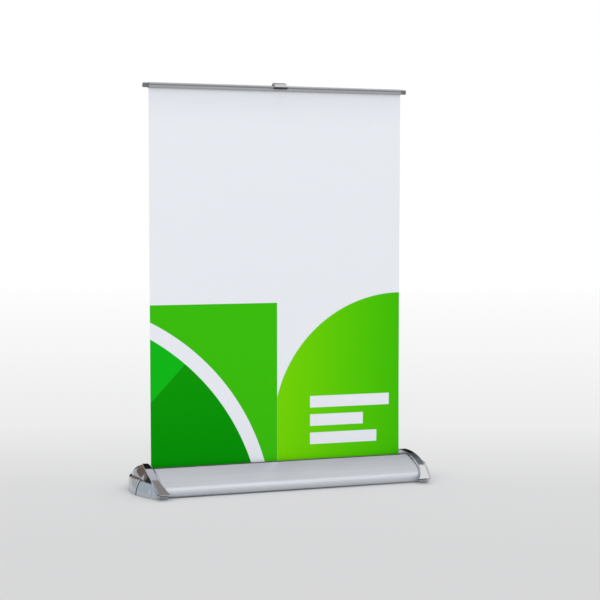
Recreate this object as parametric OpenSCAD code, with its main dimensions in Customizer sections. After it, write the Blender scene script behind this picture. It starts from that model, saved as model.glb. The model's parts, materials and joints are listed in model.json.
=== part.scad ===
// Tabletop roll-up banner stand.
// Frame: origin on the table under the middle of the base, +X to the
// right along the base, -Y to the front, +Z up.  Shown with the film
// pulled right up and hung on its telescopic pole.

/* [Graphic] */
// Width of the printed film
film_w = 210; // [160:1:210]
// Height of film that shows between the slot and the top rail
film_h = 297; // [270:1:300]
// Thickness of the film
film_t = 0.2; // [0.15:0.01:0.25]

/* [Base] */
// Depth of the base, toe to heel
base_d = 75; // [74:0.5:77]
// Height of the end caps above the table
cap_h = 19.7; // [19.5:0.1:20.5]
// Wall of the aluminium housing
wall = 1.2; // [1:0.1:1.3]
// Distance of the film plane behind the middle of the base
film_y = 15; // [14.5:0.1:15.5]
// Width of the slot that the film leaves through
slot_w = 4; // [3.6:0.1:4]
// Height of the slot lips above the table
slot_z = 15.4; // [15.2:0.1:15.6]
// Radius of the rounded ends of the base, seen from above
end_r = 56; // [52:0.1:60]

/* [Roller] */
// Outer diameter of the roller tube
roller_d = 7; // [6.8:0.1:7]
// Film still wound on the roller when the banner is up
spare_film = 60; // [30:5:80]

/* [Top rail] */
// Height of the top rail
rail_h = 4.4; // [4.2:0.1:5]
// Depth of the top rail, front to back
rail_d = 4.8; // [4.4:0.1:5]

/* [Pole] */
// Distance of the pole behind the film
pole_gap = 7.5; // [7.4:0.1:8]
// Diameter of the lower tube
pole_d = 6; // [6:0.1:6.2]
// How far each upper section slides into the one below
stage_travel = 80; // [60:1:80]

/* [Hidden] */
$fn = 64;

half = film_w / 2;
gap = 0.05;          // radial clearance of a running fit
far = 200;           // longer than any cut it makes

// Housing: between the caps, lifted off the table by the feet
housing_x = half + 0.5;
foot_h = 0.8;
plate_t = 2.4;

// Cap crown: a long front arc and a short rear arc that meet at the crest
crest_y = film_y - 1;
front_r = 95.6;
rear_r = 25.5;
front_c = [crest_y, cap_h - front_r];
rear_c = [crest_y, cap_h - rear_r];
toe_y = -base_d / 2;
heel_y = base_d / 2;
lip_z = 4.4;         // underside of the toe lip
lip_back = 2.2;      // how far the plinth stands behind the lip
cap_reach = 19.2;    // how far a cap stands out past the film's edge
end_mid = 5;         // middle of the rounded ends, behind the middle of the base

// Housing surface, inside the cap crown
front_inset = 1.2;
rear_inset = 3;
nose_r = 4.4;
nose_y = toe_y + 11;
nose_z = front_c[1] + sqrt(pow(front_r - front_inset - nose_r, 2) - pow(crest_y - nose_y, 2));
nose_tilt = asin((crest_y - nose_y) / (front_r - front_inset - nose_r));
ridge_y = film_y - 14;
slot_y0 = film_y - slot_w / 2 - 0.2;
slot_y1 = slot_y0 + slot_w;

// Roller: the film runs straight up from its rear side
core_r = roller_d / 2;
wrap_r = sqrt(core_r * core_r + spare_film * film_t / PI);
full_r = sqrt(core_r * core_r + (spare_film + film_h) * film_t / PI);
roller_y = film_y - wrap_r - film_t / 2;
roller_z = foot_h + wall + full_r + 0.2;
roller_x = half - 1;
tube_wall = 0.6;
plug_len = 9;
spring_x0 = -roller_x + 14;
spring_x1 = -20;
arbor_r = 1.4;
spring_r = 2.1;
wire_r = 0.25;
wire_sides = 6;
spring_turns = 16;
spring_steps = 12;   // rings of the wire to one turn

// Screws into the housing
screw_ys = [nose_y + 6.5, heel_y - 7.5];
screw_z = foot_h + wall + 2;
screw_r = 1.5;
boss_r = 2.7;
peg_r = 1.5;
peg_pos = [[film_y - 26, 8.2], [film_y + 5.5, 11]];

// Film and top rail
film_z0 = slot_z - 1.4;
rail_z0 = slot_z + film_h;
rail_z1 = rail_z0 + rail_h;
jaw_z = rail_z0 + rail_h * 0.5;
film_z1 = jaw_z + 0.5;
rail_y0 = film_y - rail_d / 2;
rail_y1 = film_y + rail_d / 2;

// Pole: three sections behind the film
pole_y = film_y + pole_gap;
lower_r = pole_d / 2;
lower_in = lower_r - 0.5;
middle_r = 2.1;
middle_in = 1.7;
upper_r = 1.3;
socket_r = 4.5;
socket_z0 = foot_h + wall;
foot_z0 = socket_z0 + 1.2;
lower_z0 = foot_z0 + 10;
lower_z1 = lower_z0 + stage_travel + 22;
middle_z0 = lower_z1 - 12;
middle_z1 = middle_z0 + stage_travel + 35;
upper_z0 = middle_z1 - 12;
upper_z1 = rail_z1 + 0.3;
bush_h = 8;
collar_h = 8;
collar_wall = 1;

// Rail clip: a hook of C section that drops over the rail
clip_x0 = -4;
clip_x1 = 5.7;
clip_slant = 2;
clip_wall = 1.6;
clip_clear = 0.3;
clip_z1 = rail_z1 + 2.3;
hub_r = 3;
hub_z0 = rail_z0 - 3;

function arc(c, r, a0, a1, n) =
    [for (i = [0:n]) let (a = a0 + (a1 - a0) * i / n) c + r * [cos(a), sin(a)]];

function round_rect(lo, hi, r, n) = concat(
    arc([hi[0] - r, hi[1] - r], r, 0, 90, n), arc([lo[0] + r, hi[1] - r], r, 90, 180, n),
    arc([lo[0] + r, lo[1] + r], r, 180, 270, n), arc([hi[0] - r, lo[1] + r], r, 270, 360, n));

// Angle on a circle of radius r, centred at height cz, where it meets height z
function angle_at(cz, r, z) = asin((z - cz) / r);

// Housing outline in Y and Z, moved inwards by d; the slot is cut later
function housing_outline(d) = let (
    fr = front_r - front_inset - d,
    rr = rear_r - rear_inset - d,
    nose_end = 180 - angle_at(nose_z, nose_r - d, foot_h + d),
    crest_a = 90 + asin((crest_y - ridge_y) / fr),
    heel_a = angle_at(rear_c[1], rr, foot_h + d + 1)) concat(
    arc([nose_y, nose_z], nose_r - d, nose_end, 90 + nose_tilt, 8),
    arc(front_c, fr, 90 + nose_tilt, crest_a, 10),
    [[slot_y0 - 0.4, slot_z - d], [slot_y1 + 0.4, slot_z - d]],
    arc(rear_c, rr, 75, heel_a, 10),
    [rear_c + [rr * cos(heel_a) - 0.4, foot_h + d - rear_c[1]]]);

// Crown outline of the end caps in Y and Z, lowered by drop; only the
// full-height outline has the toe lip
function crown_outline(drop) = let (
    fr = front_r - drop,
    rr = rear_r - drop,
    front_y = drop == 0 ? toe_y : toe_y + lip_back,
    toe_a = 180 - acos((crest_y - front_y) / fr),
    heel_a = angle_at(rear_c[1], rr, lip_z + 1.6)) concat(
    [[toe_y + lip_back + 0.6, 0], [toe_y + lip_back, lip_z - 0.6]],
    drop == 0 ? [[toe_y, lip_z]] : [],
    arc(front_c, fr, toe_a, 90, 18),
    arc(rear_c, rr, 84, heel_a, 10),
    [[heel_y - drop, 1.5], [heel_y - drop - 0.4, 0]]);

module along_x(x0, x1) {
    translate([x0, 0, 0])
        rotate([90, 0, 90])
            linear_extrude(height = x1 - x0)
                children();
}

module rod_x(x0, x1, y, z, r) {
    translate([x0, y, z])
        rotate([0, 90, 0])
            cylinder(r = r, h = x1 - x0);
}

module tube_z(z0, z1, r_out, r_in) {
    translate([0, pole_y, z0])
        difference() {
            cylinder(r = r_out, h = z1 - z0);
            translate([0, 0, -1])
                cylinder(r = r_in, h = z1 - z0 + 2);
        }
}

// ---- Base ----

module base_housing() {
    color([0.76, 0.77, 0.80])
        difference() {
            union() {
                along_x(-housing_x, housing_x)
                    difference() {
                        polygon(housing_outline(0));
                        polygon(housing_outline(wall));
                        translate([slot_y0, slot_z - 5])
                            square([slot_w, 10]);
                    }
                // Screw channels along the floor of the extrusion
                for (y = screw_ys)
                    rod_x(-housing_x, housing_x, y, screw_z, boss_r);
            }
            for (y = screw_ys)
                rod_x(-far, far, y, screw_z, screw_r);
            translate([0, pole_y, socket_z0])
                cylinder(r = socket_r + gap, h = 20);
            translate([0, pole_y, -1])
                cylinder(r = screw_r, h = 5);
        }
}

// Inner plate that closes the housing and carries the roller
module end_plate(pin_r) {
    color([0.08, 0.08, 0.09])
        difference() {
            along_x(housing_x, housing_x + plate_t)
                polygon(housing_outline(0.3));
            for (y = screw_ys)
                rod_x(half - 1, housing_x + far, y, screw_z, screw_r + 0.15);
            for (p = peg_pos)
                rod_x(half - 1, housing_x + far, p[0], p[1], peg_r + gap);
            rod_x(half - 1, housing_x + far, roller_y, roller_z, pin_r);
        }
}

module end_plate_right() {
    end_plate(1.25);
}

module end_plate_left() {
    mirror([1, 0, 0])
        end_plate(arbor_r);
}

// Outline of a cap from above: rounded end, toe flared inwards
module cap_plan() {
    flare_y = film_y - 41;
    reach = half + cap_reach - end_r;
    toe_a = asin((toe_y + 5 - end_mid) / end_r);
    heel_a = asin((heel_y - 2 - end_mid) / end_r);
    polygon(concat(
        [[half - 5, toe_y], [half + 5.2, toe_y]],
        arc([reach, end_mid], end_r, toe_a, heel_a, 24),
        [[half + 6.5, heel_y], [half + 1.9, heel_y], [half + 1.9, flare_y]]));
}

// Front view of the cap's outer side: hood, waist and skirt
module cap_side() {
    s = half + cap_reach;
    polygon([[half, 0], [s - 0.5, 0], [s, 1], [s, 8], [s - 0.6, 12.4],
             [s - 1.6, 13.2], [s - 2.8, 13.6], [s - 2.2, 15], [s - 3.6, 16.6],
             [s - 6.4, 18.4], [s - 11, cap_h], [half, cap_h]]);
}

module end_cap() {
    color([0.72, 0.74, 0.78])
        difference() {
            union() {
                intersection() {
                    along_x(half - 5, half + 8)
                        polygon(crown_outline(0));
                    linear_extrude(height = cap_h + 1)
                        cap_plan();
                }
                intersection() {
                    along_x(half + 7, half + 22)
                        polygon(crown_outline(1.1));
                    linear_extrude(height = cap_h + 1)
                        cap_plan();
                    translate([0, heel_y, 0])
                        rotate([90, 0, 0])
                            linear_extrude(height = base_d)
                                cap_side();
                }
                for (p = peg_pos)
                    rod_x(housing_x + 0.2, half + 8, p[0], p[1], peg_r);
            }
            // Seat for the housing end and the plate
            difference() {
                along_x(half - 10, housing_x + plate_t + 0.1)
                    union() {
                        polygon(housing_outline(-0.1));
                        translate([nose_y, -1])
                            square([heel_y - 4 - nose_y, foot_h + 1.5]);
                    }
                for (p = peg_pos)
                    rod_x(housing_x + 0.2, half + 8, p[0], p[1], peg_r);
            }
            // Room for the screw heads and the pin ends
            for (y = screw_ys)
                rod_x(half, housing_x + plate_t + 2.4, y, screw_z, 3.2);
            rod_x(half, housing_x + plate_t + 2.4, roller_y, roller_z, 3);
        }
}

module end_cap_right() {
    end_cap();
}

module end_cap_left() {
    mirror([1, 0, 0])
        end_cap();
}

// Pan-head self-tapping screw, head outwards
module plate_screws() {
    x0 = housing_x + plate_t;
    color([0.62, 0.63, 0.65])
        for (y = screw_ys)
            difference() {
                union() {
                    rod_x(x0 - 10, x0, y, screw_z, screw_r - gap);
                    rod_x(x0, x0 + 1.8, y, screw_z, 2.8);
                }
                translate([x0 + 1.4, y, screw_z])
                    cube([2, 3, 0.7], center = true);
                translate([x0 + 1.4, y, screw_z])
                    cube([2, 0.7, 3], center = true);
            }
}

module plate_screws_right() {
    plate_screws();
}

module plate_screws_left() {
    mirror([1, 0, 0])
        plate_screws();
}

// Four rubber feet glued under the housing
module foot_pads() {
    color([0.12, 0.12, 0.12])
        for (x = [-1, 1], y = [nose_y + 7, heel_y - 12])
            translate([x * (half - 20), y, 0])
                difference() {
                    cylinder(r = 5, h = foot_h);
                    translate([0, 0, -1])
                        cylinder(r = 2, h = 1.4);
                }
}

// Soft liner on the front lip of the slot
module slot_guide() {
    color([0.10, 0.10, 0.11])
        along_x(-half, half)
            polygon(concat(
                [[slot_y0, slot_z - 2.4], [slot_y0 + 0.7, slot_z - 2.4]],
                arc([slot_y0 + 0.1, slot_z + 0.1], 0.6, 0, 180, 8),
                [[slot_y0 - 0.5, slot_z + 0.05], [slot_y0, slot_z + 0.05]]));
}

// Fixed shaft that holds the still end of the spring
module spring_arbor() {
    color([0.60, 0.61, 0.63])
        difference() {
            union() {
                rod_x(-housing_x - plate_t - 0.5, spring_x1 + 4, roller_y, roller_z, arbor_r);
                rod_x(-housing_x - plate_t - 1.2, -housing_x - plate_t, roller_y, roller_z, 2.4);
            }
            translate([spring_x1 + 2, roller_y, roller_z])
                cube([1.2, 0.5, far], center = true);
        }
}

// Wire spring round the arbor, swept as one helix
function wire_ring(i) = let (
    n = spring_turns * spring_steps,
    a = 360 * i / spring_steps,
    x = spring_x0 + 2 + (spring_x1 - spring_x0 - 4) * i / n)
    [for (k = [0:wire_sides - 1]) let (b = 360 * k / wire_sides, r = spring_r + wire_r * cos(b))
        [x + wire_r * sin(b), roller_y + r * cos(a), roller_z + r * sin(a)]];

module torsion_spring() {
    n = spring_turns * spring_steps;
    s = wire_sides;
    points = [for (i = [0:n]) each wire_ring(i)];
    sides = [for (i = [0:n - 1], k = [0:s - 1]) let (j = (k + 1) % s)
        each [[i * s + k, i * s + j, (i + 1) * s + k],
              [i * s + j, (i + 1) * s + j, (i + 1) * s + k]]];
    start = [[for (k = [0:s - 1]) s - 1 - k]];
    finish = [[for (k = [0:s - 1]) n * s + k]];
    color([0.45, 0.46, 0.48])
        polyhedron(points, concat(sides, start, finish));
}

// Pin that the free end of the roller turns on
module idler_pin() {
    color([0.60, 0.61, 0.63]) {
        rod_x(half - 7, housing_x + plate_t, roller_y, roller_z, 1.25);
        rod_x(housing_x + plate_t, housing_x + plate_t + 1.2, roller_y, roller_z, 2.4);
    }
}

// Cup in the housing that the pole stands in
module pole_socket() {
    color([0.10, 0.10, 0.11])
        difference() {
            union() {
                translate([0, pole_y, socket_z0])
                    cylinder(r = socket_r, h = slot_z + 0.3 - socket_z0);
                translate([0, pole_y, slot_z + 0.3])
                    cylinder(r = socket_r + 0.5, h = 1);
            }
            translate([0, pole_y, foot_z0])
                cylinder(r = lower_r + gap, h = 30);
            translate([0, pole_y, socket_z0 - 1])
                cylinder(r = screw_r - 0.3, h = 4);
        }
}

// Countersunk screw up into the cup
module socket_screw() {
    color([0.62, 0.63, 0.65])
        translate([0, pole_y, foot_h - 0.6]) {
            cylinder(r = screw_r - 0.35, h = foot_z0 - foot_h + 0.4);
            cylinder(r = 2.7, h = 0.6);
        }
}

// Film between the roller and the slot
module film_leader() {
    color([0.93, 0.93, 0.95])
        translate([-half, film_y - film_t / 2, roller_z])
            cube([film_w, film_t, film_z0 - roller_z]);
}

module graphic_film() {
    color([0.93, 0.93, 0.96])
        translate([-half, film_y - film_t / 2, film_z0])
            cube([film_w, film_t, film_z1 - film_z0]);
}

// ---- Roller ----

module roller_tube() {
    color([0.70, 0.71, 0.73])
        difference() {
            rod_x(-roller_x, roller_x, roller_y, roller_z, core_r);
            rod_x(-half, half, roller_y, roller_z, core_r - tube_wall);
        }
}

module roller_plug(bore_r, x0) {
    difference() {
        union() {
            rod_x(x0, x0 + plug_len, roller_y, roller_z, core_r - tube_wall - 0.02);
            rod_x(x0 < 0 ? x0 - 0.6 : x0 + plug_len, x0 < 0 ? x0 : x0 + plug_len + 0.6,
                  roller_y, roller_z, core_r);
        }
        rod_x(x0 - 5, x0 + plug_len + 5, roller_y, roller_z, bore_r);
    }
}

module spring_plug() {
    color([0.16, 0.16, 0.17])
        roller_plug(arbor_r + gap, -roller_x);
}

module idle_plug() {
    color([0.16, 0.16, 0.17])
        roller_plug(1.25 + gap, roller_x - plug_len);
}

// Tape that fixes the film to the tube, lying along the tube
module leader_tape() {
    tape_t = 0.1;
    color([0.85, 0.80, 0.55])
        intersection() {
            difference() {
                rod_x(-half + 4, half - 4, roller_y, roller_z, core_r + tape_t);
                rod_x(-half, half, roller_y, roller_z, core_r);
            }
            translate([-half, roller_y - 1.8, roller_z])
                cube([film_w, 3.6, 10]);
        }
}

// Turns of film left on the tube
module film_wrap() {
    color([0.93, 0.93, 0.95])
        difference() {
            rod_x(-roller_x + 0.5, roller_x - 0.5, roller_y, roller_z, wrap_r - 0.05);
            rod_x(-half, half, roller_y, roller_z, core_r + 0.12);
        }
}

// ---- Top rail ----

// Extrusion with a round upper bead and a rear jaw
module rail_profile() {
    color([0.72, 0.73, 0.75])
        along_x(-half, half)
            difference() {
                union() {
                    polygon(round_rect([rail_y0, rail_z1 - rail_h * 0.46], [rail_y1, rail_z1], 1, 6));
                    translate([rail_y0 + 0.6, jaw_z - 0.1])
                        square([rail_d - 1.2, 1]);
                    polygon(round_rect([film_y - 0.6, rail_z0], [rail_y1 - 0.2, jaw_z + 0.6], 0.5, 4));
                }
                translate([rail_y0 - 1, rail_z0 - 1])
                    square([rail_d / 2 + 1 + film_t / 2 + gap, jaw_z - rail_z0 + 1]);
                translate([film_y - film_t / 2 - gap, rail_z0])
                    square([film_t + 2 * gap, film_z1 - rail_z0 + gap]);
                translate([film_y, rail_z0 + 0.5])
                    square([film_t / 2 + gap + 0.12, jaw_z - rail_z0 - 0.9]);
            }
}

// Front jaw that snaps over the film
module clamp_strip() {
    color([0.62, 0.63, 0.66])
        along_x(-half, half)
            polygon(round_rect([rail_y0 + 0.15, rail_z0],
                               [film_y - film_t / 2 - gap, jaw_z - 0.05], 0.5, 4));
}

// Adhesive strip behind the top edge of the film
module film_tape() {
    color([0.80, 0.78, 0.70])
        translate([-half + 1, film_y + film_t / 2 + gap, rail_z0 + 0.55])
            cube([film_w - 2, 0.1, jaw_z - rail_z0 - 1]);
}

module rail_plug() {
    color([0.12, 0.12, 0.13])
        intersection() {
            along_x(half, half + 4.8)
                polygon(round_rect([rail_y0 + 0.2, rail_z0 + 0.5], [rail_y1 - 0.2, rail_z1 - 0.4], 1, 6));
            translate([half, film_y, (rail_z0 + rail_z1) / 2])
                scale(4.8)
                    sphere(r = 1);
        }
}

module rail_plug_right() {
    rail_plug();
}

module rail_plug_left() {
    mirror([1, 0, 0])
        rail_plug();
}

// ---- Pole ----

// Solid foot that closes the lower tube
module pole_foot() {
    color([0.15, 0.15, 0.16])
        translate([0, pole_y, foot_z0]) {
            cylinder(r = lower_r, h = lower_z0 - foot_z0);
            cylinder(r = lower_in - 0.02, h = lower_z0 - foot_z0 + 6);
        }
}

module pole_lower_tube() {
    color([0.68, 0.69, 0.72])
        tube_z(lower_z0, lower_z1, lower_r, lower_in);
}

module lower_collar() {
    color([0.15, 0.15, 0.16]) {
        tube_z(lower_z1 - 5, lower_z1, lower_r + collar_wall, lower_r + 0.01);
        tube_z(lower_z1, lower_z1 + collar_h - 5, lower_r + collar_wall, middle_r + gap);
    }
}

// Guide bush at the bottom of the middle tube
module middle_bush() {
    color([0.85, 0.85, 0.83])
        tube_z(middle_z0, middle_z0 + bush_h, lower_in - gap, middle_r + 0.01);
}

module pole_middle_tube() {
    color([0.68, 0.69, 0.72])
        tube_z(middle_z0, middle_z1, middle_r, middle_in);
}

module middle_collar() {
    color([0.15, 0.15, 0.16]) {
        tube_z(middle_z1 - 5, middle_z1, middle_r + collar_wall, middle_r + 0.01);
        tube_z(middle_z1, middle_z1 + collar_h - 5, middle_r + collar_wall, upper_r + gap);
    }
}

module upper_bush() {
    color([0.85, 0.85, 0.83])
        tube_z(upper_z0, upper_z0 + bush_h, middle_in - gap, upper_r + 0.01);
}

module pole_upper_rod() {
    color([0.68, 0.69, 0.72])
        translate([0, pole_y, upper_z0])
            cylinder(r = upper_r, h = upper_z1 - upper_z0);
}

// Boss pressed on the rod, carrying the clip
module clip_hub() {
    color([0.15, 0.15, 0.16])
        difference() {
            translate([0, pole_y, hub_z0])
                cylinder(r = hub_r, h = upper_z1 - hub_z0);
            translate([0, pole_y, hub_z0 - 1])
                cylinder(r = upper_r + 0.01, h = far);
        }
}

module rail_clip() {
    front = rail_y0 - clip_clear - clip_wall;
    mid_z = (rail_z1 + clip_z1) / 2;
    color([0.75, 0.76, 0.79])
        difference() {
            intersection() {
                along_x(clip_x0, clip_x1 + clip_slant)
                    difference() {
                        polygon(round_rect([front, rail_z0 + 1], [pole_y + hub_r + 1.2, clip_z1], 1.6, 6));
                        // Hollow that the rail sits in
                        polygon(concat(
                            [[rail_y0 - clip_clear, rail_z0 - 1], [rail_y1 + clip_clear, rail_z0 - 1]],
                            arc([rail_y1 + clip_clear - 1.2, rail_z1 + clip_clear - 1.2], 1.2, 0, 90, 5),
                            arc([rail_y0 - clip_clear + 1.2, rail_z1 + clip_clear - 1.2], 1.2, 90, 180, 5)));
                    }
                // Slanted right end
                translate([0, pole_y + 10, 0])
                    rotate([90, 0, 0])
                        linear_extrude(height = 40)
                            polygon([[clip_x0, rail_z0 - 5], [clip_x1 + clip_slant, rail_z0],
                                     [clip_x1 + clip_slant, mid_z - 2], [clip_x1, clip_z1 + 1],
                                     [clip_x0, clip_z1 + 1]]);
            }
            translate([0, pole_y, 0])
                cylinder(r = hub_r + 0.01, h = upper_z1 + 0.02);
        }
}

base_housing();
end_plate_left();
end_plate_right();
end_cap_left();
end_cap_right();
plate_screws_left();
plate_screws_right();
foot_pads();
slot_guide();
spring_arbor();
torsion_spring();
idler_pin();
pole_socket();
socket_screw();
film_leader();
graphic_film();
roller_tube();
spring_plug();
idle_plug();
leader_tape();
film_wrap();
rail_profile();
clamp_strip();
film_tape();
rail_plug_left();
rail_plug_right();
pole_foot();
pole_lower_tube();
lower_collar();
middle_bush();
pole_middle_tube();
middle_collar();
upper_bush();
pole_upper_rod();
clip_hub();
rail_clip();
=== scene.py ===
import json
import math

import bmesh
import bpy
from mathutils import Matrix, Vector, noise


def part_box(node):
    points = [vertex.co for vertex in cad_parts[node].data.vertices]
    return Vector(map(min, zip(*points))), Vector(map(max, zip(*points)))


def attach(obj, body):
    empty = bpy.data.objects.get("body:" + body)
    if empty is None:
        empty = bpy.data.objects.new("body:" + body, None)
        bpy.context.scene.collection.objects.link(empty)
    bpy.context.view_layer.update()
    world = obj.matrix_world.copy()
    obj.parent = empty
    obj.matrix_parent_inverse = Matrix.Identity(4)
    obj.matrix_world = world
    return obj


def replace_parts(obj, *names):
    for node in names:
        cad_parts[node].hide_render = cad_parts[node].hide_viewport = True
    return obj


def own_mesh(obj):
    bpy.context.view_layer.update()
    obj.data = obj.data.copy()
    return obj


# Tabletop roll-up banner stand.  Metres, in the CAD frame: +X right along
# the base, -Y to the front, +Z up, origin on the table under the base.

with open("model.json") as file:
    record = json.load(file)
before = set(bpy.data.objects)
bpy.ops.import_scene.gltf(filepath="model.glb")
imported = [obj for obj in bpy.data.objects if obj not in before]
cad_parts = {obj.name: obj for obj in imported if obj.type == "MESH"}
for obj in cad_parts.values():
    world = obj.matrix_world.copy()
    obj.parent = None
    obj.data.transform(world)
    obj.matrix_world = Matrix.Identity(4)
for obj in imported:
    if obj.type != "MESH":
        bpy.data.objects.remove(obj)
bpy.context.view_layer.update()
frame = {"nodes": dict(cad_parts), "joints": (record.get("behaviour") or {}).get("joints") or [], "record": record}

MM = 0.001
film_lo, film_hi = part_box("graphic_film")
rail_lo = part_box("rail_profile")[0]
cap_lo, cap_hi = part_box("end_cap_right")
clip_lo, clip_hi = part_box("rail_clip")
HALF = film_hi.x                          # half the film's width
FILM_Y = (film_lo.y + film_hi.y) / 2      # the film's plane
FILM_T = film_hi.y - film_lo.y
SLOT_Z = film_lo.z + 1.4 * MM             # lips of the slot
RAIL_Z = rail_lo.z                        # underside of the top rail
ART_H = RAIL_Z - SLOT_Z                   # film that shows
TRAVEL = -next(j["range_m"][0] for j in frame["joints"] if j["name"] == "rail_slide")
VIEW_YAW = math.radians(18.49)            # the view is turned this far to the right of straight back
VIEW_PITCH = math.radians(3.547)          # and this far down


# ---- Camera, light and floor ----

def place_camera():
    """Left of the film's middle and a little above it, as the photograph was taken."""
    level = math.cos(VIEW_PITCH)
    forward = Vector((math.sin(VIEW_YAW) * level, math.cos(VIEW_YAW) * level, -math.sin(VIEW_PITCH)))
    right = Vector((math.cos(VIEW_YAW), -math.sin(VIEW_YAW), 0))
    up = right.cross(forward)
    foot = Vector((0, FILM_Y, SLOT_Z))
    camera = bpy.data.objects.new("camera", bpy.data.cameras.new("camera"))
    bpy.context.scene.collection.objects.link(camera)
    distance, aside, above = 1.1265, 0.01747, 0.13054
    camera.location = foot - forward * distance + right * aside + up * above
    camera.rotation_euler = (math.pi / 2 - VIEW_PITCH, 0, -VIEW_YAW)
    camera.data.sensor_width = 36
    camera.data.lens = 83.5
    bpy.context.scene.camera = camera


def nodes_of(owner):
    owner.use_nodes = True
    tree = owner.node_tree
    tree.nodes.clear()
    return tree


def put(tree, value, socket):
    """A number or colour is set on the socket; anything else is linked to it."""
    if isinstance(value, bpy.types.NodeSocket):
        tree.links.new(value, socket)
    else:
        socket.default_value = value


def maths(tree, operation, *values):
    node = tree.nodes.new("ShaderNodeMath")
    node.operation = operation
    for value, socket in zip(values, node.inputs):
        put(tree, value, socket)
    return node.outputs[0]


def ramp(tree, value, low, high, smooth=True):
    """0 where value is at low and 1 where it is at high; low may be the larger."""
    node = tree.nodes.new("ShaderNodeMapRange")
    node.interpolation_type = "SMOOTHSTEP" if smooth else "LINEAR"
    put(tree, value, node.inputs["Value"])
    if low > high:
        node.inputs["From Min"].default_value = high
        node.inputs["From Max"].default_value = low
        node.inputs["To Min"].default_value = 1
        node.inputs["To Max"].default_value = 0
    else:
        node.inputs["From Min"].default_value = low
        node.inputs["From Max"].default_value = high
    return node.outputs["Result"]


def mix(tree, share, a, b):
    """Colour a where share is 0, b where it is 1."""
    node = tree.nodes.new("ShaderNodeMix")
    node.data_type = "RGBA"
    put(tree, share, node.inputs["Factor"])
    put(tree, a, node.inputs["A"])
    put(tree, b, node.inputs["B"])
    return node.outputs["Result"]


def rgb(red, green, blue):
    """A linear colour from screen values of 0 to 255."""
    def linear(value):
        value /= 255
        return value / 12.92 if value <= 0.04045 else ((value + 0.055) / 1.055) ** 2.4
    return (linear(red), linear(green), linear(blue), 1)


def grey(value):
    return (value, value, value, 1)


def studio():
    """White room: white to the camera, even light on matt surfaces, and
    dark and pale panels behind the object for the bright metal to mirror."""
    world = bpy.data.worlds.new("studio")
    bpy.context.scene.world = world
    tree = nodes_of(world)
    place = tree.nodes.new("ShaderNodeTexCoord")
    axes = tree.nodes.new("ShaderNodeSeparateXYZ")
    tree.links.new(place.outputs["Generated"], axes.inputs[0])
    x, y, z = axes.outputs
    white, black = grey(1.6), grey(0.012)
    warm_white = (1.36, 1.26, 1.17, 1)
    pale_pink, taupe = (0.80, 0.76, 0.80, 1), (0.42, 0.36, 0.33, 1)
    brown, deep_brown = (0.26, 0.19, 0.15, 1), (0.22, 0.165, 0.135, 1)
    pale, blue_grey, near_black = (0.62, 0.60, 0.60, 1), (0.62, 0.66, 0.70, 1), (0.045, 0.05, 0.06, 1)

    def upwards(*bands):
        """Tones stacked by height: the first, then each (height, tone) above it."""
        tone = bands[0]
        for height, above in bands[1:]:
            tone = mix(tree, ramp(tree, z, height - 0.015, height + 0.015), tone, above)
        return tone

    # What stands behind the object, from the right round to the left
    far_right = upwards(black, (0.44, grey(0.13)), (0.60, grey(0.24)), (0.757, warm_white))
    past_right = upwards(grey(0.95), (0.50, far_right))
    right = upwards(black, (0.48, pale_pink), (0.788, taupe), (0.968, white))
    centre = upwards(black, (0.17, brown), (0.54, grey(1.0)))
    left = upwards(pale, (0.27, deep_brown), (0.56, near_black))
    turned = maths(tree, "ARCTAN2", x, y)

    def beside(first, angle, second, blur=1.5):
        """First to the right of the angle, in degrees from straight back, second to its left."""
        share = ramp(tree, turned, math.radians(angle + blur), math.radians(angle - blur))
        return mix(tree, share, first, second)

    far_right = beside(past_right, 29, far_right)
    room = mix(tree, ramp(tree, x, 0.30, 0.29), far_right, right)
    room = mix(tree, ramp(tree, x, 0.14, 0.10), room, centre)
    for angle, height in ((-5, 0.66), (-16, 0.712)):
        room = beside(room, angle, upwards(left, (height, grey(1.0))))
    room = beside(room, -31, left)
    room = beside(room, -44, blue_grey, 3)
    front = mix(tree, ramp(tree, z, 0.15, 0.75), grey(0.95), white)
    room = mix(tree, ramp(tree, y, 0.0, 0.12), front, room)

    even_light = (0.965, 0.97, 0.98, 1)
    path = tree.nodes.new("ShaderNodeLightPath")
    light = mix(tree, path.outputs["Is Glossy Ray"], even_light, room)
    light = mix(tree, path.outputs["Is Camera Ray"], light, grey(1.0))
    background = tree.nodes.new("ShaderNodeBackground")
    tree.links.new(light, background.inputs["Color"])
    output = tree.nodes.new("ShaderNodeOutputWorld")
    tree.links.new(background.outputs[0], output.inputs["Surface"])


def area_light(name, place, aim, size, watts):
    light = bpy.data.lights.new(name, "AREA")
    light.shape = "RECTANGLE"
    light.size, light.size_y = size
    light.energy = watts
    lamp = bpy.data.objects.new(name, light)
    bpy.context.scene.collection.objects.link(lamp)
    lamp.location = place
    lamp.rotation_euler = (Vector(aim) - Vector(place)).to_track_quat("-Z", "Y").to_euler()
    lamp.visible_glossy = False           # no square highlight on the chrome


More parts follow.
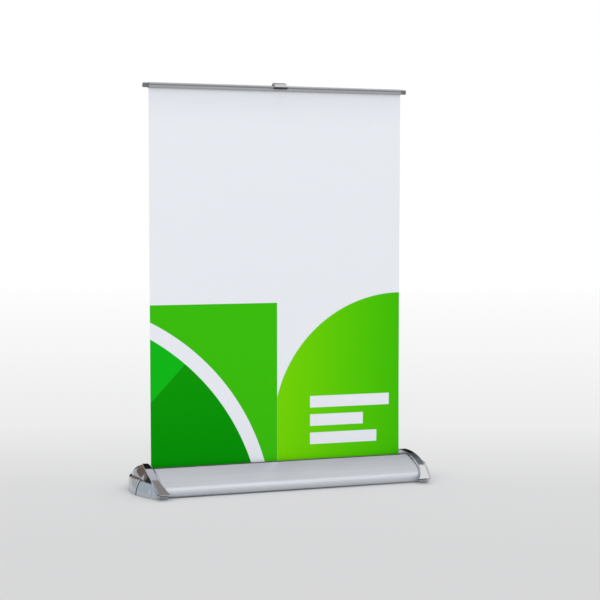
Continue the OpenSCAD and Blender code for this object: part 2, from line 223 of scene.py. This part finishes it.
def floor():
    """A pale matt disc that fades to the white of the room behind the object and far away by painted light: it
    glows there. Its matt tone is a little darker in front of the object.
    """
    mesh = bpy.data.meshes.new("floor")
    shape = bmesh.new()
    bmesh.ops.create_circle(shape, cap_ends=True, segments=96, radius=6)
    shape.to_mesh(mesh)
    shape.free()
    disc = bpy.data.objects.new("floor", mesh)
    bpy.context.scene.collection.objects.link(disc)
    material = bpy.data.materials.new("floor")
    tree = nodes_of(material)
    place = tree.nodes.new("ShaderNodeTexCoord")
    length = tree.nodes.new("ShaderNodeVectorMath")
    length.operation = "LENGTH"
    tree.links.new(place.outputs["Object"], length.inputs[0])
    away = tree.nodes.new("ShaderNodeVectorMath")
    away.operation = "DOT_PRODUCT"
    away.inputs[1].default_value = (math.sin(VIEW_YAW), math.cos(VIEW_YAW), 0)
    tree.links.new(place.outputs["Object"], away.inputs[0])
    back = away.outputs["Value"]
    share = 0
    for start, stop, part in ((-0.02, 0.30, 0.47), (0.30, 1.1, 0.28), (1.1, 3.1, 0.25)):
        share = maths(tree, "MULTIPLY_ADD", ramp(tree, back, start, stop, False), part, share)
    share = maths(tree, "MAXIMUM", share, ramp(tree, length.outputs["Value"], 1.0, 3.4))
    matt = tree.nodes.new("ShaderNodeBsdfPrincipled")
    tone = mix(tree, ramp(tree, back, -0.30, 0.0), grey(0.690), grey(0.725))
    tree.links.new(tone, matt.inputs["Base Color"])
    matt.inputs["Roughness"].default_value = 0.75
    matt.inputs["Specular IOR Level"].default_value = 0.1
    # Emission: painted light that brightens the floor away from the object
    glow = tree.nodes.new("ShaderNodeEmission")
    glow.inputs["Color"].default_value = grey(1.0)
    blend = tree.nodes.new("ShaderNodeMixShader")
    tree.links.new(share, blend.inputs[0])
    tree.links.new(matt.outputs[0], blend.inputs[1])
    tree.links.new(glow.outputs[0], blend.inputs[2])
    output = tree.nodes.new("ShaderNodeOutputMaterial")
    tree.links.new(blend.outputs[0], output.inputs["Surface"])
    mesh.materials.append(material)


# ---- Materials ----

class Finish:
    """A procedural surface on the object's own coordinates, in metres."""

    def __init__(self, name, roughness, metallic=0.0, specular=0.5):
        self.material = bpy.data.materials.new(name)
        self.tree = nodes_of(self.material)
        self.place = self.tree.nodes.new("ShaderNodeTexCoord")
        self.shader = self.tree.nodes.new("ShaderNodeBsdfPrincipled")
        self.shader.inputs["Metallic"].default_value = metallic
        self.shader.inputs["Roughness"].default_value = roughness
        self.shader.inputs["Specular IOR Level"].default_value = specular
        output = self.tree.nodes.new("ShaderNodeOutputMaterial")
        self.tree.links.new(self.shader.outputs[0], output.inputs["Surface"])
        self.bump = None

    def noise(self, cells, detail=3, roughness=0.5):
        """Noise with cells of these sizes along X, Y and Z, in metres."""
        mapping = self.tree.nodes.new("ShaderNodeMapping")
        mapping.inputs["Scale"].default_value = [1 / cell for cell in cells]
        self.tree.links.new(self.place.outputs["Object"], mapping.inputs["Vector"])
        texture = self.tree.nodes.new("ShaderNodeTexNoise")
        texture.inputs["Scale"].default_value = 1
        texture.inputs["Detail"].default_value = detail
        texture.inputs["Roughness"].default_value = roughness
        self.tree.links.new(mapping.outputs[0], texture.inputs["Vector"])
        return texture.outputs["Fac"]

    def colour(self, value):
        put(self.tree, value, self.shader.inputs["Base Color"])

    def roughness(self, value, low, high):
        """Roughness that runs from low to high over the middle of value's range."""
        node = self.tree.nodes.new("ShaderNodeMapRange")
        put(self.tree, value, node.inputs["Value"])
        node.inputs["From Min"].default_value = 0.3
        node.inputs["From Max"].default_value = 0.7
        node.inputs["To Min"].default_value = low
        node.inputs["To Max"].default_value = high
        self.tree.links.new(node.outputs["Result"], self.shader.inputs["Roughness"])

    def relief(self, value, height, strength=1.0):
        node = self.tree.nodes.new("ShaderNodeBump")
        node.inputs["Distance"].default_value = height
        node.inputs["Strength"].default_value = strength
        put(self.tree, value, node.inputs["Height"])
        if self.bump:
            self.tree.links.new(self.bump, node.inputs["Normal"])
        self.bump = node.outputs["Normal"]
        self.tree.links.new(self.bump, self.shader.inputs["Normal"])


def extruded_metal(name, colour, roughness, metallic, along="X"):
    """Satin anodised extrusion: fine die lines along its length, soft clouding, a few rubbed spots."""
    finish = Finish(name, roughness, metallic)
    long, fine = 90 * MM, 0.35 * MM
    cells = {"X": (long, fine, fine), "Z": (fine, fine, long)}[along]
    lines = finish.noise(cells, 4, 0.6)
    clouds = finish.noise((40 * MM, 14 * MM, 14 * MM), 3)
    pale = [min(1, c * 1.10) for c in colour[:3]] + [1]
    dark = [c * 0.88 for c in colour[:3]] + [1]
    tone = mix(finish.tree, ramp(finish.tree, lines, 0.25, 0.75), dark, pale)
    finish.colour(mix(finish.tree, maths(finish.tree, "MULTIPLY", clouds, 0.35), tone, colour))
    finish.roughness(clouds, roughness - 0.05, roughness + 0.07)
    finish.relief(lines, 0.004 * MM, 0.5)
    grain = finish.noise((0.12 * MM,) * 3, 2)
    finish.relief(grain, 0.002 * MM, 0.4)
    return finish.material


def bright_chrome(name, colour):
    """Chrome on moulded plastic: a slow ripple, hairline rubs and faint haze."""
    finish = Finish(name, 0.06, 1.0)
    ripple = finish.noise((7 * MM,) * 3, 1)
    rubs = finish.noise((0.25 * MM, 6 * MM, 1.2 * MM), 5, 0.7)
    haze = finish.noise((11 * MM,) * 3, 4)
    rubbed = [c * 0.86 for c in colour[:3]] + [1]
    finish.colour(mix(finish.tree, ramp(finish.tree, rubs, 0.62, 0.80), colour, rubbed))
    finish.roughness(haze, 0.045, 0.11)
    finish.relief(ripple, 0.05 * MM, 0.35)
    finish.relief(rubs, 0.002 * MM, 0.4)
    return finish.material


def moulded(name, colour, roughness, grain=0.25):
    """Spark-eroded plastic: fine pits, rubbed smoother in places."""
    finish = Finish(name, roughness, specular=0.4)
    pits = finish.noise((grain * MM,) * 3, 3, 0.6)
    rubbed = finish.noise((9 * MM,) * 3, 3)
    pale = [min(1, c * 1.35 + 0.006) for c in colour[:3]] + [1]
    finish.colour(mix(finish.tree, ramp(finish.tree, rubbed, 0.42, 0.75), colour, pale))
    finish.roughness(rubbed, roughness + 0.06, roughness - 0.10)
    finish.relief(pits, 0.03 * MM, 0.5)
    return finish.material


def plated_steel(name):
    finish = Finish(name, 0.3, 1.0)
    turned = finish.noise((0.3 * MM,) * 3, 4, 0.7)
    stain = finish.noise((3 * MM,) * 3, 3)
    finish.colour(mix(finish.tree, stain, (0.50, 0.51, 0.53, 1), (0.66, 0.66, 0.66, 1)))
    finish.roughness(turned, 0.22, 0.40)
    finish.relief(turned, 0.01 * MM, 0.4)
    return finish.material


def film_base(name):
    """Satin polypropylene film: a very fine embossed tooth and slow waves from the roller."""
    finish = Finish(name, 0.45, specular=0.04)
    tooth = finish.noise((0.22 * MM,) * 3, 2)
    waves = finish.noise((60 * MM, 30 * MM, 9 * MM), 2)
    finish.roughness(waves, 0.38, 0.50)
    finish.relief(tooth, 0.006 * MM, 0.5)
    finish.relief(waves, 0.12 * MM, 0.35)
    return finish, waves


def plain_film():
    finish, waves = film_base("film_white")
    finish.colour(mix(finish.tree, waves, (0.80, 0.80, 0.83, 1), (0.86, 0.86, 0.885, 1)))
    return finish.material


def printed_film(sheet_origin):
    """The film's printed side.  The artwork hangs from the top rail, so it
    goes down into the slot with the film."""
    finish, waves = film_base("film_print")
    tree = finish.tree
    art = tree.nodes.new("ShaderNodeTexCoord")
    art.object = sheet_origin
    axes = tree.nodes.new("ShaderNodeSeparateXYZ")
    tree.links.new(art.outputs["Object"], axes.inputs[0])
    u = axes.outputs["X"]
    v = maths(tree, "ADD", axes.outputs["Z"], ART_H)
    edge = 0.15 * MM

    def beyond(value, limit):
        """1 where value is over limit."""
        return ramp(tree, value, limit - edge, limit + edge, False)

    def below(value, limit):
        return ramp(tree, value, limit + edge, limit - edge, False)

    def both(a, b):
        return maths(tree, "MULTIPLY", a, b)

    def distance(centre_u, centre_v):
        du = maths(tree, "SUBTRACT", u, centre_u)
        dv = maths(tree, "SUBTRACT", v, centre_v)
        return maths(tree, "SQRT", maths(tree, "ADD", both(du, du), both(dv, dv)))

    # Paper white, darker just under the rail: painted shade under the rail
    shaded_paper = mix(tree, ramp(tree, v, ART_H - 30 * MM, ART_H), (0.855, 0.875, 0.917, 1), (0.79, 0.81, 0.853, 1))
    shaded_paper = mix(tree, maths(tree, "MULTIPLY", waves, 0.25), shaded_paper, (0.885, 0.900, 0.937, 1))

    # Left square with a white band curving down through it
    square = both(below(u, -1 * MM), below(v, 128.6 * MM))
    outer = distance(-191.4 * MM, -50.5 * MM)
    inner = distance(-201.1 * MM, -59.5 * MM)
    inside = below(inner, 187.9 * MM)
    band = both(below(outer, 186.8 * MM), beyond(inner, 187.9 * MM))
    diagonal = maths(tree, "SUBTRACT", v, maths(tree, "MULTIPLY", u, 29.0 / 27.2))
    upper = beyond(diagonal, 163.7 * MM)
    deep = mix(tree, ramp(tree, v, 80 * MM, 0), rgb(8, 154, 2), rgb(0, 146, 0))
    left = mix(tree, inside, rgb(60, 193, 8), mix(tree, upper, deep, rgb(14, 187, 22)))
    left = mix(tree, band, left, shaded_paper)

    # Right quarter disc, lighter towards its left edge
    disc = both(beyond(u, -1 * MM), below(distance(HALF, 26 * MM), 109.2 * MM))
    lime = mix(tree, ramp(tree, u, 0, 62 * MM, False), rgb(119, 218, 0), rgb(87, 205, 0))
    lime = mix(tree, ramp(tree, u, 62 * MM, HALF, False), lime, rgb(65, 193, 0))

    # Three plain bars in place of lettering
    bars = None
    for row, width in enumerate((69 * MM, 46 * MM, 58 * MM)):
        top = (52 - 15 * row) * MM
        across = both(beyond(u, 27 * MM), below(u, 27 * MM + width))
        bar = both(across, both(beyond(v, top - 9.5 * MM), below(v, top)))
        bars = bar if bars is None else maths(tree, "MAXIMUM", bars, bar)

    picture = mix(tree, square, shaded_paper, left)
    picture = mix(tree, disc, picture, lime)
    finish.colour(mix(tree, bars, picture, shaded_paper))
    return finish.material


def tape_material():
    finish = Finish("adhesive_tape", 0.5, specular=0.3)
    fibres = finish.noise((2 * MM, 0.4 * MM, 0.4 * MM), 4)
    finish.colour(mix(finish.tree, fibres, (0.74, 0.68, 0.48, 1), (0.84, 0.80, 0.64, 1)))
    finish.relief(fibres, 0.02 * MM, 0.5)
    return finish.material


# ---- Mesh helpers ----

def add_piece(name, mesh, body, slot, *materials):
    piece = bpy.data.objects.new(name, mesh)
    bpy.context.scene.collection.objects.link(piece)
    for material in materials:
        mesh.materials.append(material)
    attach(piece, body)
    return piece


def smooth_by_angle(mesh, degrees):
    mesh.polygons.foreach_set("use_smooth", [True] * len(mesh.polygons))
    mesh.set_sharp_from_angle(angle=math.radians(degrees))


def loft(name, sections):
    """A closed skin through sections, each a loop of the same number of points."""
    mesh = bpy.data.meshes.new(name)
    shape = bmesh.new()
    rings = [[shape.verts.new(point) for point in section] for section in sections]
    count = len(rings[0])
    for near, far in zip(rings, rings[1:]):
        for i in range(count):
            j = (i + 1) % count
            shape.faces.new((near[i], near[j], far[j], far[i]))
    shape.faces.new(rings[0][::-1])
    shape.faces.new(rings[-1])
    bmesh.ops.remove_doubles(shape, verts=shape.verts, dist=0.004 * MM)
    bmesh.ops.recalc_face_normals(shape, faces=shape.faces)
    shape.to_mesh(mesh)
    shape.free()
    return mesh


def even_normals(mesh, degrees):
    """Smooth shading led by the large faces, with edges sharper than degrees kept."""
    smooth_by_angle(mesh, degrees)
    holder = bpy.data.objects.new(mesh.name, mesh)
    bpy.context.scene.collection.objects.link(holder)
    weighting = holder.modifiers.new("normals", "WEIGHTED_NORMAL")
    weighting.keep_sharp = True
    graph = bpy.context.evaluated_depsgraph_get()
    shaded = bpy.data.meshes.new_from_object(holder.evaluated_get(graph))
    bpy.data.objects.remove(holder)
    shaded.name = mesh.name
    return shaded


def rounded(corners, segments=5):
    """The loop through corners (a, b, radius), each rounded off.  With radius 0 it stays one point."""
    points = []
    for i, (a, b, radius) in enumerate(corners):
        corner = Vector((a, b))
        if radius == 0:
            points.append(corner)
            continue
        before = Vector(corners[i - 1][:2]) - corner
        after = Vector(corners[(i + 1) % len(corners)][:2]) - corner
        reach = min(radius, 0.45 * before.length, 0.45 * after.length)
        start = corner + before.normalized() * reach
        stop = corner + after.normalized() * reach
        for k in range(segments + 1):
            t = k / segments
            points.append(start * (1 - t) ** 2 + corner * (2 * t * (1 - t)) + stop * t ** 2)
    return points


def smoothstep(low, high, value):
    t = min(1.0, max(0.0, (value - low) / (high - low)))
    return t * t * (3 - 2 * t)


def lerp(a, b, t):
    return a + (b - a) * t


# ---- End caps ----
# A cap is lofted from toe to heel.  Its sections are worked in
# millimetres: u is the distance out from the middle of the base.

CREST_Y = FILM_Y / MM - 1
CAP_H = cap_hi.z / MM
TOE_Y, HEEL_Y = cap_lo.y / MM, cap_hi.y / MM
FRONT_R, REAR_R = 95.6, 25.5             # arcs of the crown before and behind the crest
SIDE = HALF / MM
FACE_U = SIDE + 8.4                      # outer edge of the face where it is widest
WAIST_Y = -8                             # and where that is
FLARE_Y, FLARE_U = -18, 5.6              # the inner edge turns inwards from here, by this much
LIP_Z = 4.1                              # underside of the toe lip
PLINTH_Y, PLINTH_T = TOE_Y + 4.4, 1.6    # foot of the plinth's front, and how far that leans out
PLAN_U, PLAN_Y, PLAN_R = SIDE - 36.8, 5, 56   # centre and radius of the rounded end, from above
HEEL_R = 3                               # its corner at the heel
FACET_Y, FACE_Y = -22.5, -11.5           # ends of the triangular facet along the face's edge
SEAM_Y, SEAM_W = -9, 1.0                 # groove between the halves of the cap, and half its width
SEAM_D = 0.3                             # its depth
LAP = 1.05                               # depth of the face where it laps the housing


def crown(y):
    """Height of the cap's face."""
    radius = FRONT_R if y < CREST_Y else REAR_R
    return CAP_H - radius + math.sqrt(max(0, radius ** 2 - (y - CREST_Y) ** 2))


def face_outer(y):
    """Outer edge of the face: it draws in by 3 mm to the toe, and by 1.4 mm to the crest."""
    away = y - WAIST_Y
    draw_in = 3.0 * (away / 29.4) ** 2 if away < 0 else 1.4 * (away / 22) ** 2
    return FACE_U - draw_in


def face_inner(y):
    """Inner edge of the face: straight, then flared over the housing's end at the toe."""
    flare = max(0, (FLARE_Y - y) / (FLARE_Y - TOE_Y))
    return SIDE + 1.4 - FLARE_U * flare ** 1.8


def seam(y):
    """Depth of the groove between the halves of the cap."""
    return SEAM_D * smoothstep(SEAM_W + 0.2, SEAM_W, abs(y - SEAM_Y))


def plan(y):
    """Where the outer wall meets the table, rounded off at the heel and held under the toe lip."""
    past = max(0, y - HEEL_Y + HEEL_R)
    corner = HEEL_R - math.sqrt(max(0, HEEL_R ** 2 - past ** 2))
    wall = PLAN_U + math.sqrt(PLAN_R ** 2 - (y - PLAN_Y) ** 2) - corner
    return max(wall - seam(y), face_outer(y) - 1.5)


def skirt_top(y):
    """Height of the ledge on the skirt.  At the toe it follows just under the face."""
    rise = 10.6 + 1.2 * smoothstep(-25, -8, y) - 1.4 * smoothstep(-6, 22, y)
    return lerp(crown(y) - 1.9, rise, smoothstep(FACET_Y - 5, FACET_Y, y))


def cap_section(y):
    """Corners round the cap at y: up the inner side, over the face, down the hood, ledge and skirt."""
    top = crown(y)
    foot = LIP_Z * smoothstep(PLINTH_Y, PLINTH_Y - PLINTH_T, y)
    thick = top - foot
    soft = min(0.55, 0.28 * thick)
    inner, outer = face_inner(y), face_outer(y)
    bevel = min(1, thick / 2.5)
    over_housing = smoothstep(-31.4, -30.9, y)
    seat_z = lerp(foot + soft, max(foot + soft, top - LAP), over_housing)
    seat_u = lerp(inner + 0.25, SIDE + 3.1, over_housing)
    ledge_z = max(foot + 0.3 * thick, min(skirt_top(y), top - 0.3 * soft if y < 0 else 0.8 * top))

    toe = 1 - smoothstep(FACET_Y - 5, FACET_Y, y)
    draft = 2.6 - 2.0 * smoothstep(-6, 20, y)     # lean of the skirt over its first 10 mm

    def wall(z):
        """The skirt leans in as it rises; at the toe it runs straight up to the groove under the face."""
        rising = lerp(plan(y), outer + 0.3, (z - foot) / max(0.1, ledge_z - foot))
        return lerp(plan(y) - draft * (z / 10) ** 2, rising, toe)

    # Between the face and the ledge: a groove at the toe, a facet, then a hood.
    # The curve runs from start, under the face's edge, over bulge to stop, on the ledge.
    notch = smoothstep(-6, 14, y)
    rim_u = min(wall(ledge_z) - 0.3, SIDE + 12 + 2.8 * smoothstep(-9, 14, y) - 0.03 * max(0, y - 17) ** 2)
    rim_u = max(rim_u, outer + 0.6)
    rim_z = ledge_z + 0.1 + min(1.2 * notch, 0.3 * (top - ledge_z))
    notch_u = rim_u - 0.05
    edge_z = min(top - 1.3 * soft, 15.7 + 0.38 * (y - FACE_Y))
    edge_z = max(foot + 0.2 * thick, lerp(edge_z, top - 1.4, toe))
    start, stop = Vector((outer - 0.1 - 0.7 * toe, edge_z)), Vector((rim_u, rim_z))
    swell = (0.1 + 2.9 * smoothstep(-5, 12, y)) * smoothstep(42, 22, y)
    bulge = (start + stop) / 2 + Vector((0.7, 0.85)) * swell

    corners = [(seat_u, foot, 0.1), (seat_u, seat_z, 0.1), (inner, seat_z, 0.08),
               (inner, top - 0.6 * bevel, 0.1), (inner + 0.75 * bevel, top - 0.08 * bevel, 0.08),
               (inner + 0.95 * bevel, top - 0.22 * bevel, 0.05), (inner + 1.15 * bevel, top, 0.1),
               (outer, top, soft), (start.x, start.y, 0.06)]
    for t in (0.15, 0.3, 0.45, 0.6, 0.75, 0.88):
        point = start * (1 - t) ** 2 + bulge * (2 * t * (1 - t)) + stop * t ** 2
        corners.append((point.x, point.y, 0))
    chamfer = min(0.8 * notch * (wall(ledge_z) - notch_u), 0.8 * (rim_z - ledge_z))
    corners += [(stop.x, stop.y, 0.2), (notch_u, lerp(rim_z, ledge_z + chamfer, 0.6), 0.1),
                (notch_u, ledge_z + chamfer, 0.1), (wall(ledge_z), ledge_z, 0.35 + 1.5 * notch)]
    for t in (0.2, 0.4, 0.6, 0.8):
        z = lerp(ledge_z, foot, t)
        corners.append((wall(z), z, 0))
    corners.append((wall(foot), foot, 0.3))
    return rounded(corners)


def end_cap(name, side, chrome, gap_shade):
    # Sections close together at both ends, the seam and the plinth's front
    steps = 120
    ends = (0, 0.06, 0.2, 0.45)
    ys = [TOE_Y + e for e in ends] + [lerp(TOE_Y + 0.8, HEEL_Y - 0.8, i / steps) for i in range(steps + 1)]
    ys += [HEEL_Y - e for e in ends] + [FACET_Y, FACE_Y]
    ys += [SEAM_Y + e * SEAM_W for e in (-1.2, -1, 1, 1.2)]
    ys += [PLINTH_Y - PLINTH_T * t for t in (0, 0.3, 0.5, 0.65, 0.8, 1)]
    ys = sorted(ys)
    ys = [y for y, after in zip(ys, ys[1:] + [math.inf]) if after - y > 0.04]
    sections = [[(side * u * MM, y * MM, z * MM) for u, z in cap_section(y)] for y in ys]
    mesh = even_normals(loft(name, sections), 21)

    # The seam, and the gap under the lip of the face, take the black moulding as painted shade
    for polygon in mesh.polygons:
        at = polygon.center / MM
        on_skirt = abs(at.x) > plan(SEAM_Y) - 3 and at.z < skirt_top(SEAM_Y) - 0.1
        in_seam = abs(at.y - SEAM_Y) < SEAM_W and on_skirt
        under_lip = at.y < PLINTH_Y and LIP_Z - 1.4 < at.z < LIP_Z + 0.1 and abs(at.x) < face_outer(TOE_Y) - 1
        polygon.material_index = int(in_seam or under_lip)
    return add_piece(name, mesh, "base", "cap_chrome", chrome, gap_shade)


# ---- Film ----

def film_sheet(print_material, back_material):
    """The film from the slot to the rail's jaw, with a slight curl along its free edges.
    The rows that the squash packs into the jaw are flat, so that they fit it."""
    across, up = 56, 84
    height = film_hi.z - film_lo.z
    keep = 1 - TRAVEL / height
    flat_from = film_hi.z - (film_hi.z - RAIL_Z) / keep
    mesh = bpy.data.meshes.new("film_sheet")
    shape = bmesh.new()
    skins = []
    for skin in (-0.5, 0.5):
        rows = []
        for j in range(up + 1):
            z = lerp(film_lo.z, film_hi.z, j / up)
            held = max(0, min((z - film_lo.z) / (60 * MM), (flat_from - z) / (45 * MM), 1))
            row = []
            for i in range(across + 1):
                x = lerp(-HALF, HALF, i / across)
                edge = abs(x) / HALF
                curl = 0.55 * MM * edge ** 14 * held
                wave = 0.16 * MM * held * noise.noise(Vector((x * 16, z * 11, 3.7)))
                row.append(shape.verts.new((x, FILM_Y + skin * FILM_T + curl + wave, z)))
            rows.append(row)
        skins.append(rows)
    front, back = skins
    for j in range(up):
        for i in range(across):
            shape.faces.new((front[j][i], front[j][i + 1], front[j + 1][i + 1], front[j + 1][i]))
            face = shape.faces.new((back[j][i], back[j + 1][i], back[j + 1][i + 1], back[j][i + 1]))
            face.material_index = 1
    rim = [(j, 0, j + 1, 0) for j in range(up)] + [(j + 1, across, j, across) for j in range(up)]
    rim += [(0, i + 1, 0, i) for i in range(across)] + [(up, i, up, i + 1) for i in range(across)]
    for j0, i0, j1, i1 in rim:
        face = shape.faces.new((front[j0][i0], front[j1][i1], back[j1][i1], back[j0][i0]))
        face.material_index = 1
    bmesh.ops.recalc_face_normals(shape, faces=shape.faces)
    shape.to_mesh(mesh)
    shape.free()
    smooth_by_angle(mesh, 40)
    sheet = add_piece("film_sheet", mesh, "base", "printed_film", print_material, back_material)
    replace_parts(sheet, "graphic_film")
    sheet.visible_glossy = False          # the bright caps mirror the room, not the print
    sheet.visible_diffuse = False         # and the pale floor picks up no tint from it
    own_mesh(sheet)


# ---- Rail clip ----

def super_arch(centre, half_depth, height, power, start, stop, steps):
    """Points of an arch over centre, from angle start to stop in degrees."""
    points = []
    for i in range(steps + 1):
        a = math.radians(lerp(start, stop, i / steps))
        c, s = math.cos(a), math.sin(a)
        y = centre[0] + half_depth * math.copysign(abs(c) ** (2 / power), c)
        z = centre[1] + height * math.copysign(abs(s) ** (2 / power), s)
        points.append((y, z))
    return points


def rail_hook(chrome, lip):
    """Arched hook over the rail, cut square at the left and slanted at the right, with its lower front edge black
    as painted shade.
    """
    middle = (FILM_Y + 0.6 * MM, RAIL_Z + 1.2 * MM)
    outer = super_arch(middle, 5.3 * MM, clip_hi.z - middle[1], 2.5, 174, 0, 16)
    inner = super_arch(middle, 3.8 * MM, 4.15 * MM, 3.2, 0, 174, 16)
    tail_y = outer[-1][0]
    tail_z = middle[1] - 0.9 * MM
    profile = outer + [(tail_y, tail_z), (tail_y - 1.5 * MM, tail_z)] + inner
    left, right = clip_lo.x, clip_hi.x - 2 * MM
    xs = (0.0, 0.02, 0.06, 0.35, 0.65, 0.94, 0.98, 1.0)
    sections = []
    for share in xs:
        section = []
        for y, z in profile:
            slant = 2 * MM * (1 - (z - middle[1]) / (clip_hi.z - middle[1])) * (y < FILM_Y)
            end_inset = 0.18 * MM * (share in (0.0, 1.0))
            towards = Vector((FILM_Y - y, middle[1] + 2.5 * MM - z)).normalized() * end_inset
            section.append((lerp(left, right + slant, share), y + towards[0], z + towards[1]))
        sections.append(section)
    mesh = even_normals(loft("rail_hook", sections), 40)
    # The lower front edge takes the black moulding: painted shade under the hook
    for polygon in mesh.polygons:
        polygon.material_index = int(polygon.center.z < middle[1] + 1.7 * MM and polygon.center.y < FILM_Y)
    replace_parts(add_piece("rail_hook", mesh, "pole_upper", "clip_chrome", chrome, lip), "rail_clip")


# ---- Build ----

bpy.context.scene.view_settings.view_transform = "Standard"
place_camera()
studio()
floor()
area_light("key", (-0.45, -1.7, 0.45), (0, 0, 0.16), (1.2, 0.8), 2.7)

housing_metal = extruded_metal("housing_anodised", (0.57, 0.597, 0.637, 1), 0.42, 0.45)
rail_metal = extruded_metal("rail_anodised", (0.35, 0.36, 0.375, 1), 0.30, 0.85)
tube_metal = extruded_metal("tube_drawn", (0.66, 0.67, 0.70, 1), 0.28, 0.9, "Z")
cap_chrome = bright_chrome("cap_chrome", (0.50, 0.54, 0.58, 1))
clip_chrome = bright_chrome("clip_chrome", (0.37, 0.38, 0.385, 1))
dull_grey = moulded("grey_moulding", (0.15, 0.15, 0.155, 1), 0.42)
black = moulded("black_moulding", (0.022, 0.022, 0.024, 1), 0.42)
white = moulded("white_moulding", (0.74, 0.74, 0.72, 1), 0.40)
rubber = moulded("foot_rubber", (0.018, 0.018, 0.018, 1), 0.72, 0.5)
steel = plated_steel("plated_steel")
tape = tape_material()
film_white = plain_film()

finishes = {
    "satin_aluminium": housing_metal, "rail_aluminium": rail_metal, "tube_aluminium": tube_metal,
    "cap_chrome": cap_chrome, "clip_chrome": clip_chrome, "black_plastic": black,
    "white_plastic": white, "steel": steel, "rubber": rubber, "plain_film": film_white,
    "printed_film": film_white, "tape": tape,
}
# Two parts look different from their slot: the thin line of each end plate
# that shows matches the housing, and the rail's plugs are grey
own_finishes = {"end_plate": housing_metal, "rail_plug": dull_grey}
for part in frame["record"]["subparts"]:
    node = frame["nodes"][part["node"]]
    node.data.materials.clear()
    family = part["node"].removesuffix("_left").removesuffix("_right")
    node.data.materials.append(own_finishes.get(family, finishes[part["material_slot"]]))

art_origin = bpy.data.objects.new("art_origin", None)
bpy.context.scene.collection.objects.link(art_origin)
art_origin.location = (0, FILM_Y, RAIL_Z)
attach(art_origin, "top_rail")

film_sheet(printed_film(art_origin), film_white)
for name, side, node in (("cap_shell_left", -1, "end_cap_left"), ("cap_shell_right", 1, "end_cap_right")):
    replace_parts(end_cap(name, side, cap_chrome, black), node)
rail_hook(clip_chrome, black)
